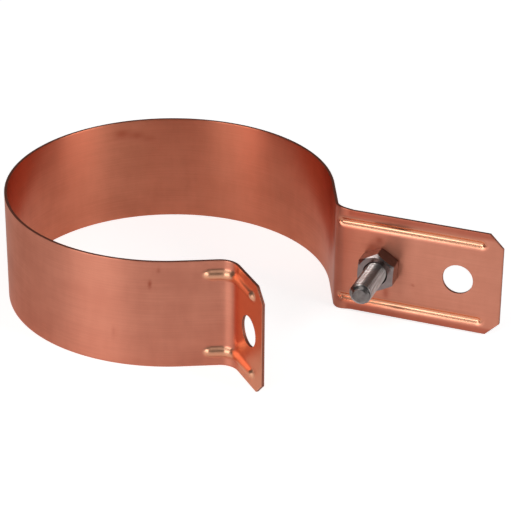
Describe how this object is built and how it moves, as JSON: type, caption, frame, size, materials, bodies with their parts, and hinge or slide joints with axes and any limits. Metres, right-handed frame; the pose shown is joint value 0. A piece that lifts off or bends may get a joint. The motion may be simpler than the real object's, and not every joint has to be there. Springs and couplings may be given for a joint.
{
  "type": "lightning protection pipe clamp",
  "caption": "Sprung copper strip bent into an open ring with two ribbed flanges, one carrying a steel bolt and nut, to bond a pipe to a lightning conductor.",
  "frame": {"origin": "on the pipe's axis, level with the strip's lower edge", "axes": "+Z along the pipe, +X outwards along the long flange, +Y towards the bolt's head"},
  "size_m": [0.1808, 0.1217, 0.0405],
  "materials": {
    "copper": "rolled copper, satin",
    "stainless": "turned stainless steel"
  },
  "bodies": {
    "band": {"clamp_band": "copper"},
    "bolt": {"hex_bolt": "stainless"},
    "nut": {"hex_nut": "stainless"}
  },
  "joints": [
    {"name": "bolt_turn", "type": "hinge", "parent": "band", "child": "bolt", "pos_m": [0.07783, 0.00653, 0.02025], "axis": [0, 1, 0], "range_deg": [0, 5040]},
    {"name": "nut_travel", "type": "slide", "parent": "band", "child": "nut", "axis": [0, -1, 0], "range_m": [0, 0.0176]}
  ],
  "couplings": [
    {"joint": "nut_travel", "follows": "bolt_turn", "m_per_rad": 0.00019894}
  ]
}
